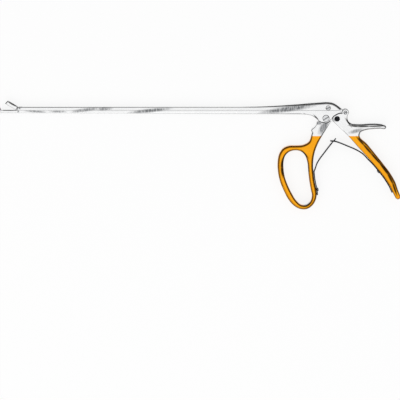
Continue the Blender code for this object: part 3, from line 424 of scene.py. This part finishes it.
@dataclass(frozen=True)
class GildedSteel(PolishedSteel):
    """Forged stainless handle, dipped in a gold bath up to a straight line across both handles.

    The gold is a warm orange yellow and a little softer than the bare steel above it.
    """

    gold_light: str = "#FDB128"
    gold_dark: str = "#F09A12"
    # Painted shade in the gold's seams, and painted dark reflection on its rims
    gold_crevice: str = "#6B3A02"
    gold_rim: str = "#3A2104"
    gold_roughness: float = 0.17
    line_below_pivot_mm: float = 13.55
    line_wave_mm: float = 0.25
    line_blur_mm: float = 0.06
    streak_roughness: float = 0.05

    def material(self) -> bpy.types.Material:
        """Build the whole material, gold below the line and steel above it.

        Returns:
            The finished material.
        """
        material, tree, shader = self.start()
        clouds, lines, normal = self.polish(tree)
        place = add_node(tree, "ShaderNodeTexCoord")
        parts = add_node(tree, "ShaderNodeSeparateXYZ", links={"Vector": place.outputs["Object"]})
        wave = add_node(tree, "ShaderNodeMath", {"operation": "MULTIPLY_ADD"}, {
            0: clouds, 1: self.line_wave_mm * MM, 2: parts.outputs["Y"]})
        line_y = PIVOT.y - self.line_below_pivot_mm * MM
        blur = self.line_blur_mm * MM
        gilded = add_node(tree, "ShaderNodeMapRange", links={
            "Value": wave.outputs["Value"], "From Min": line_y - blur, "From Max": line_y + blur,
            "To Min": 1.0, "To Max": 0.0})
        gold = add_node(tree, "ShaderNodeMix", {"data_type": "RGBA"}, {
            0: clouds, 6: linear_colour(self.gold_dark), 7: linear_colour(self.gold_light)})
        plating = self.shade_and_dirt(tree, self.rims(tree, gold.outputs[2], self.gold_rim), self.gold_crevice)
        steel = self.shade_and_dirt(tree, self.rims(tree, self.tone(tree, clouds), self.rim), self.crevice)
        surface = add_node(tree, "ShaderNodeMix", {"data_type": "RGBA"}, {
            0: gilded.outputs["Result"], 6: steel, 7: plating})
        tree.links.new(self.flanked(tree, surface.outputs[2]), shader.inputs["Base Color"])
        base = add_node(tree, "ShaderNodeMix", {"data_type": "FLOAT"}, {
            0: gilded.outputs["Result"], 2: self.roughness, 3: self.gold_roughness})
        gloss = add_node(tree, "ShaderNodeMath", {"operation": "MULTIPLY_ADD"}, {
            0: lines, 1: self.streak_roughness, 2: base.outputs[0]})
        tree.links.new(gloss.outputs["Value"], shader.inputs["Roughness"])
        tree.links.new(normal, shader.inputs["Normal"])
        return material


# Patches of painted shade along both bars, and one on the rear of the body
BAR_SHADES = (
    Shade(-30.0, 7.0, 25.0, 2.6, 8.0, 0.95),
    Shade(-135.5, 5.9, 19.0, 1.9, 6.0, 0.95),
    Shade(-171.0, 7.2, 8.0, 1.6, 3.0),
    Shade(-184.5, 6.6, 13.0, 1.6, 6.0),
    Shade(-189.5, 5.2, 8.0, 0.8, 4.0, 0.75),
    Shade(-206.5, 5.1, 8.0, 0.9, 0.0, 0.75),
    Shade(-223.5, 5.2, 10.0, 0.9, -3.0, 0.8),
    Shade(10.5, 1.0, 2.6, 2.2, 40.0, 0.6),
)
# Patches of painted shade on the bare steel of the handles: the ring handle's neck, the rear
# handle's head and under the horn
HANDLE_SHADES = (
    Shade(-1.7, -6.6, 8.0, 3.4, 58.0, 0.9),
    Shade(-6.4, -3.6, 4.6, 1.6, -10.0, 0.9),
    Shade(23.2, -9.7, 7.0, 1.9, 15.0),
    Shade(6.4, -1.0, 3.0, 2.0, 30.0, 0.7),
)

# Painted shade lines down the grip's back, along the ring's front and along the foot of the horn
GRIP_BACK = ((24.6, -15.4), (29.0, -20.3), (34.8, -27.1), (41.7, -34.8), (47.7, -43.0), (51.6, -50.3),
             (54.2, -58.0))
RING_INSIDE = ((-30.6, -27.6), (-33.6, -32.5), (-34.2, -38.0), (-33.4, -44.0))
HORN_FOOT = ((15.6, -1.0), (18.8, -5.6), (24.5, -6.4), (33.0, -6.2), (44.0, -5.8))
HANDLE_LINES = line_of_shades(GRIP_BACK, 1.1) + line_of_shades(RING_INSIDE, 1.2)
# The three short ones at the end are on the ring's rear and its lower end
HANDLE_FLANKS = HANDLE_LINES + line_of_shades(HORN_FOOT, 0.75) + (
    Shade(-16.4, -27.6, 5.6, 1.1, -48.0, 0.9),
    Shade(-13.7, -38.0, 8.0, 0.7, -86.0, 0.8),
    Shade(-14.4, -66.6, 4.2, 1.2, 27.0, 0.95),
)
# Painted shade lines on the upper jaw's back and its tip
JAW_FLANKS = (
    Shade(-241.4, 10.9, 6.0, 1.0, -29.4, 0.95),
    Shade(-245.7, 12.3, 2.4, 0.6, 52.0, 0.9),
)
# Painted shade on the nose's teeth, along the basket's rim and on the curve under the body
LOWER_BAR_FLANKS = (
    Shade(-250.3, 7.3, 2.6, 0.9, 62.0, 0.95),
    Shade(-244.0, 6.0, 9.0, 0.4, 0.0, 0.95),
    Shade(-7.7, 0.9, 3.6, 0.6, -45.0, 0.95),
)

# White polish with a painted dark reflection along the upper edge, so that the top line of the shaft reads
# black
TOP_BAR_STEEL = PolishedSteel("polished_stainless_top", shades=BAR_SHADES, rim_side=(0, 1, 0),
                              rim_least=0.3, line_mm=0.8)
# White polish with a painted dark reflection along the lower edge, so that the underside of the shaft reads
# as a fine line
LOWER_BAR_STEEL = PolishedSteel("polished_stainless_bottom", shades=BAR_SHADES, rim_side=(0, -1, 0),
                                rim_least=0.3, flanks=LOWER_BAR_FLANKS)
# White polish with painted shade along the back, so that the open jaw stands out on the white sheet
JAW_STEEL = PolishedSteel("polished_stainless_jaw", line_mm=0.8, flanks=JAW_FLANKS)

# Finishes that a whole slot shares; the satin pieces wear the three above
FINISHES = {
    # Ground steel, a grey dot in the white bars
    Slot.PIN: PolishedSteel("ground_pin_steel", light="#C4C6C8", dark="#A3A5A8", roughness=0.3),
    # Turned steel, a shade greyer than the polish round it
    Slot.SCREW: PolishedSteel("turned_screw_steel", light="#E4E5E6", dark="#C3C5C7", roughness=0.24),
    # Warm orange gold below a straight line, white steel above it
    Slot.GOLD: GildedSteel("gold_plated_steel", shades=HANDLE_SHADES, flanks=HANDLE_FLANKS),
    # Soft black, so that the one dark screw reads as a black dot
    Slot.BLACK: PolishedSteel("black_oxide_steel", light="#26272A", dark="#141517", roughness=0.38),
    # Spring steel painted near black as painted shade, so that the leaves read as two thin dark lines
    Slot.SPRING: PolishedSteel("spring_steel_painted_dark", light="#26282C", dark="#141518",
                               roughness=0.3),
}


@dataclass
class Workshop:
    """Makes finished pieces and hangs them on the frame."""

    merge_mm: float = 0.0005
    smooth_degrees: float = 32.0
    flat_degrees: float = 0.4
    curved_degrees: float = 1.0
    least_turn_degrees: float = 0.25
    level_slope: float = 0.12
    chord_mm: float = 0.45
    straight_mm: float = 6.0
    cuts: int = 3

    def __post_init__(self) -> None:
        """Build every shared finish once."""
        self.outlines: set[bmesh.types.BMEdge] = set()
        self.materials = {slot: finish.material() for slot, finish in FINISHES.items()}

    def copied(self, node: str) -> bmesh.types.BMesh:
        """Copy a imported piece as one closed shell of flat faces.

        Args:
            node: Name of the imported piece.

        Returns:
            The merged mesh.
        """
        bm = bmesh.new()
        bm.from_mesh(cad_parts[node].data)
        bmesh.ops.remove_doubles(bm, verts=bm.verts, dist=self.merge_mm * MM)
        bmesh.ops.dissolve_limit(bm, angle_limit=math.radians(self.flat_degrees), verts=bm.verts,
                                 edges=bm.edges, delimit=set())
        self.rounder(bm)
        return bm

    def goes_on(self, edge: bmesh.types.BMEdge, vert: bmesh.types.BMVert) -> bmesh.types.BMVert | None:
        """Find where an outline goes on past one end of an edge.

        Args:
            edge: Edge of the outline.
            vert: The end of it to go on from.

        Returns:
            The outline's next point, or nothing at a corner.
        """
        along = (vert.co - edge.other_vert(vert).co).normalized()
        best, least = None, math.radians(self.smooth_degrees)
        for other in vert.link_edges:
            if other is edge or other not in self.outlines:
                continue
            turn = along.angle(other.other_vert(vert).co - vert.co)
            if turn < least:
                best, least = other.other_vert(vert), turn
        return best

    def slope(self, edge: bmesh.types.BMEdge, here: bmesh.types.BMVert) -> Vector | None:
        """Direction of the outline at one end of an edge, pointing along the edge's own way.

        Args:
            edge: Edge of the outline.
            here: The end of it.

        Returns:
            A direction of about unit length, or nothing at a corner.
        """
        past = self.goes_on(edge, here)
        if past is None:
            return None
        inner, outer = edge.other_vert(here).co - here.co, here.co - past.co
        near, far = inner.length, outer.length
        if far > self.straight_mm * MM:
            way = outer / far
        else:
            way = (outer / far * near + inner / near * far) / (near + far)
        return way if here is edge.verts[0] else -way

    def rounder(self, bm: bmesh.types.BMesh) -> None:
        """Cut the chords of the curved outlines finer, on the curve through their points.

        Args:
            bm: Merged mesh with flat faces.
        """
        curved, least_turn = math.radians(self.curved_degrees), math.radians(self.least_turn_degrees)
        self.outlines = {
            e for e in bm.edges
            if len(e.link_faces) == 2 and e.calc_length() > self.chord_mm * MM
            and abs(e.verts[0].co.z - e.verts[1].co.z) < self.level_slope * e.calc_length()
            and e.link_faces[0].normal.angle(e.link_faces[1].normal, 0) > curved}
        low = Vector([min(v.co[i] for v in bm.verts) for i in range(3)])
        high = Vector([max(v.co[i] for v in bm.verts) for i in range(3)])
        chosen, moves = [], []
        for edge in self.outlines:
            first, last = (v.co.copy() for v in edge.verts)
            chord = last - first
            if chord.length > self.straight_mm * MM:
                continue
            start, end = (self.slope(edge, v) for v in edge.verts)
            if start is None and end is None:
                continue
            unit = chord.normalized()
            # At a corner the curve runs out straight
            start = start or unit * 1.5 - end * 0.5
            end = end or unit * 1.5 - start * 0.5
            if max(start.angle(unit, 0), end.angle(unit, 0)) < least_turn:
                continue
            chosen.append(edge)
            for k in range(1, self.cuts + 1):
                t = k / (self.cuts + 1)
                curve = ((2 * t**3 - 3 * t**2 + 1) * first + (t**3 - 2 * t**2 + t) * chord.length * start
                         + (3 * t**2 - 2 * t**3) * last + (t**3 - t**2) * chord.length * end)
                inside = Vector([min(max(curve[i], low[i]), high[i]) for i in range(3)])
                moves.append((first + chord * t, inside))
        bmesh.ops.subdivide_edges(bm, edges=chosen, cuts=self.cuts, use_grid_fill=True)
        bm.verts.ensure_lookup_table()
        finder = KDTree(len(bm.verts))
        for vert in bm.verts:
            finder.insert(vert.co, vert.index)
        finder.balance()
        for old, new in moves:
            _, index, gap = finder.find(old)
            if gap < self.merge_mm * MM:
                bm.verts[index].co = new
        bm.normal_update()

    def piece(self, name: str, bm: bmesh.types.BMesh, slot: Slot,
              finish: PolishedSteel | None = None) -> bpy.types.Object:
        """Turn a mesh into a smooth, dressed object at the origin.

        Args:
            name: Name of the piece.
            bm: Its mesh, in the frame's place, freed here.
            slot: Slot of the record that it belongs to.
            finish: Finish it wears where that isn't the slot's usual one.

        Returns:
            The object.
        """
        mesh = bpy.data.meshes.new(name)
        bm.to_mesh(mesh)
        bm.free()
        mesh.shade_smooth()
        mesh.set_sharp_from_angle(angle=math.radians(self.smooth_degrees))
        mesh.materials.append(finish.material() if finish else self.materials[slot])
        obj = bpy.data.objects.new(name, mesh)
        bpy.context.scene.collection.objects.link(obj)
        return obj

    def soften(self, obj: bpy.types.Object, width_mm: float, segments: int = 2) -> None:
        """Break the sharp edges of a piece and keep its flat faces flat.

        Args:
            obj: The piece.
            width_mm: Width of the broken edge.
            segments: Steps across it.
        """
        bevel = obj.modifiers.new("broken_edges", "BEVEL")
        bevel.width = width_mm * MM
        bevel.segments = segments
        bevel.limit_method = "ANGLE"
        bevel.angle_limit = math.radians(self.smooth_degrees)
        bevel.use_clamp_overlap = True
        weighted = obj.modifiers.new("flat_faces", "WEIGHTED_NORMAL")
        weighted.keep_sharp = True

    def stand_in(self, node: str, name: str, slot: Slot, body: Body, width_mm: float,
                 finish: PolishedSteel | None = None) -> bpy.types.Object:
        """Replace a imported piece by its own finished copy.

        Args:
            node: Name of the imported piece.
            name: Name of the finished copy.
            slot: Slot of the record that it belongs to.
            body: Moving group that it belongs to.
            width_mm: Width of its broken edges.
            finish: Finish it wears where that isn't the slot's usual one.

        Returns:
            The finished copy.
        """
        obj = self.piece(name, self.copied(node), slot, finish)
        self.soften(obj, width_mm)
        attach(obj, body.value)
        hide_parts(node)
        log.info("%s: %d faces", name, len(obj.data.polygons))
        return obj


@dataclass
class Shaft:
    """The two sliding bars, the hinged jaw and its pins."""

    workshop: Workshop
    edge_mm: float = 0.1

    def build(self) -> None:
        """Make every piece of the shaft."""
        for node, name, slot, body, finish in (
                ("lower_bar", "lower_bar_forged", Slot.SATIN, Body.FIXED, LOWER_BAR_STEEL),
                ("top_bar", "top_bar_forged", Slot.SATIN, Body.SLIDE, TOP_BAR_STEEL),
                ("upper_jaw", "upper_jaw_milled", Slot.SATIN, Body.JAW, JAW_STEEL),
                ("jaw_pivot_pin", "jaw_pivot_pin_ground", Slot.PIN, Body.FIXED, None),
                ("jaw_drive_pin", "jaw_drive_pin_ground", Slot.PIN, Body.SLIDE, None)):
            self.workshop.stand_in(node, name, slot, body, self.edge_mm, finish)


@dataclass
class Handles:
    """The ring handle and the rear handle."""

    workshop: Workshop
    edge_mm: float = 0.06

    def build(self) -> None:
        """Make both handles."""
        work = self.workshop
        work.stand_in("front_handle", "ring_handle_plated", Slot.GOLD, Body.RING_HANDLE, self.edge_mm)
        work.stand_in("rear_handle", "rear_handle_plated", Slot.GOLD, Body.FIXED, self.edge_mm)


@dataclass
class Screws:
    """Every screw of the instrument."""

    workshop: Workshop
    edge_mm: float = 0.05

    def build(self) -> None:
        """Make the screws across the body and those of the springs."""
        work = self.workshop
        steel = [("pivot_screw", Body.FIXED), ("drive_screw", Body.SLIDE), ("tail_screw", Body.FIXED),
                 ("front_spring_screw", Body.RING_HANDLE), ("rear_spring_screw", Body.FIXED)]
        for node, body in steel:
            work.stand_in(node, node + "_turned", Slot.SCREW, body, self.edge_mm)
        work.stand_in("rear_handle_screw", "rear_handle_screw_blackened", Slot.BLACK, Body.FIXED,
                      self.edge_mm)


@dataclass
class Springs:
    """The two leaf springs, which bend between the handles."""

    workshop: Workshop
    edge_mm: float = 0.08
    split_mm: float = 1.2
    on_cut_mm: float = 0.0001
    leaves_ring_mm: tuple[float, float] = (-9.5, -42.1)
    leaves_grip_mm: tuple[float, float] = (28.4, -27.5)

    def leaf(self, node: str, name: str) -> bpy.types.Object:
        """Make one leaf, cut across its length finely enough to bend.

        Args:
            node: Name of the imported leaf.
            name: Name of the finished leaf.

        Returns:
            The leaf.
        """
        work = self.workshop
        bm = work.copied(node)
        low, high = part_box(node)
        steps = int((high.x - low.x) / (self.split_mm * MM))
        for k in range(1, steps):
            x = low.x + (high.x - low.x) * k / steps
            bmesh.ops.bisect_plane(bm, geom=bm.verts[:] + bm.edges[:] + bm.faces[:],
                                   dist=self.on_cut_mm * MM, plane_co=(x, 0, 0), plane_no=(1, 0, 0))
        obj = work.piece(name, bm, Slot.SPRING)
        work.soften(obj, self.edge_mm)
        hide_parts(node)
        log.info("%s: %d faces", name, len(obj.data.polygons))
        return obj

    def build(self) -> None:
        """Make both leaves."""
        for node, name in (("front_spring", "front_leaf"), ("rear_spring", "rear_leaf")):
            leaf = self.leaf(node, name)
            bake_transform(leaf)


@dataclass
class Studio:
    """Pale sheet, a soft bright ceiling over grey walls, and a long lens, in metres and watts."""

    from_pivot_mm: tuple[float, float] = (-97.0, -63.55)
    width: float = 0.3086
    lens_mm: float = 500.0
    sensor_mm: float = 36.0
    clip: tuple[float, float] = (0.05, 50.0)
    tilt_degrees: float = 6.0
    sheet_side: float = 14.0
    sheet_colour: str = "#F7F7F7"
    sheet_white: float = 0.85
    ceiling_light: float = 1.0
    wall_light: float = 0.4
    wall_top: float = 0.2
    ceiling_edge: float = 0.93
    lamp_from_aim: tuple[float, float, float] = (-0.35, -0.75, 1.0)
    lamp_size: float = 1.4
    lamp_power: float = 5.0

    def __post_init__(self) -> None:
        """Find the point that the camera looks at."""
        self.aim = PIVOT + Vector((self.from_pivot_mm[0] * MM, self.from_pivot_mm[1] * MM, 0))

    def camera(self) -> None:
        """Place the camera over the instrument, leaning a little towards its crest."""
        half = math.atan(self.sensor_mm / 2 / self.lens_mm)
        distance = self.width / 2 / math.tan(half)
        tilt = math.radians(self.tilt_degrees)
        back = Vector((0, math.sin(tilt), math.cos(tilt)))
        data = bpy.data.cameras.new("camera")
        data.lens = self.lens_mm
        data.sensor_width = self.sensor_mm
        data.clip_start, data.clip_end = self.clip
        camera = bpy.data.objects.new("camera", data)
        right = Vector((1, 0, 0))
        rotation = Matrix((right, back.cross(right), back)).transposed().to_4x4()
        camera.matrix_world = Matrix.Translation(self.aim + back * distance) @ rotation
        bpy.context.scene.collection.objects.link(camera)
        bpy.context.scene.camera = camera

    def sheet(self) -> None:
        """Lay the pale sheet, which also shows as white in the metal."""
        bm = bmesh.new()
        bmesh.ops.create_grid(bm, x_segments=1, y_segments=1, size=self.sheet_side / 2)
        mesh = bpy.data.meshes.new("paper_sheet")
        bm.to_mesh(mesh)
        bm.free()
        # Matt paper, a plain white ground that keeps the instrument's soft shadow
        material = bpy.data.materials.new("matt_white_paper")
        material.use_nodes = True
        tree = material.node_tree
        tree.nodes.clear()
        paper = add_node(tree, "ShaderNodeBsdfDiffuse", links={"Color": linear_colour(self.sheet_colour)})
        white = add_node(tree, "ShaderNodeEmission", links={"Color": (1, 1, 1, 1), "Strength": 1.0})
        path = add_node(tree, "ShaderNodeLightPath")
        seen = add_node(tree, "ShaderNodeMath", {"operation": "MAXIMUM"}, {
            0: path.outputs["Is Camera Ray"], 1: path.outputs["Is Glossy Ray"]})
        seen_too = add_node(tree, "ShaderNodeMath", {"operation": "MAXIMUM"}, {
            0: seen.outputs["Value"], 1: path.outputs["Is Transmission Ray"]})
        share = add_node(tree, "ShaderNodeMath", {"operation": "MULTIPLY"}, {
            0: seen_too.outputs["Value"], 1: self.sheet_white})
        mixed = add_node(tree, "ShaderNodeMixShader", links={
            0: share.outputs["Value"], 1: paper.outputs["BSDF"], 2: white.outputs["Emission"]})
        add_node(tree, "ShaderNodeOutputMaterial", links={"Surface": mixed.outputs["Shader"]})
        mesh.materials.append(material)
        obj = bpy.data.objects.new("paper_sheet", mesh)
        bpy.context.scene.collection.objects.link(obj)

    def light(self) -> None:
        """Light the scene with a soft bright ceiling and one wide lamp beside the instrument."""
        world = bpy.data.worlds.new("studio")
        bpy.context.scene.world = world
        world.use_nodes = True
        tree = world.node_tree
        tree.nodes.clear()
        place = add_node(tree, "ShaderNodeTexCoord")
        parts = add_node(tree, "ShaderNodeSeparateXYZ", links={"Vector": place.outputs["Generated"]})
        glow = add_node(tree, "ShaderNodeMapRange", {"interpolation_type": "SMOOTHSTEP"}, {
            "Value": parts.outputs["Z"], "From Min": self.wall_top, "From Max": self.ceiling_edge,
            "To Min": self.wall_light, "To Max": self.ceiling_light})
        path = add_node(tree, "ShaderNodeLightPath")
        sky = add_node(tree, "ShaderNodeBackground", links={
            "Color": (1, 1, 1, 1), "Strength": glow.outputs["Result"]})
        white = add_node(tree, "ShaderNodeBackground", links={"Color": (1, 1, 1, 1), "Strength": 1.0})
        mixed = add_node(tree, "ShaderNodeMixShader", links={
            0: path.outputs["Is Camera Ray"], 1: sky.outputs["Background"], 2: white.outputs["Background"]})
        add_node(tree, "ShaderNodeOutputWorld", links={"Surface": mixed.outputs["Shader"]})
        lamp = bpy.data.lights.new("softbox", "AREA")
        lamp.shape = "DISK"
        lamp.size = self.lamp_size
        lamp.energy = self.lamp_power
        holder = bpy.data.objects.new("softbox", lamp)
        spot = self.aim + Vector(self.lamp_from_aim)
        aim = (self.aim - spot).to_track_quat("-Z", "Y")
        holder.matrix_world = Matrix.Translation(spot) @ aim.to_matrix().to_4x4()
        bpy.context.scene.collection.objects.link(holder)

    def build(self) -> None:
        """Make the sheet, the lights and the camera."""
        self.camera()
        self.sheet()
        self.light()
        bpy.context.scene.view_settings.view_transform = "Standard"


def main() -> None:
    """Build the studio and every piece in order."""
    workshop = Workshop()
    for part in (Studio(), Shaft(workshop), Handles(workshop), Screws(workshop), Springs(workshop)):
        part.build()
        log.info("built %s", type(part).__name__)


if __name__ == "__main__":
    main()
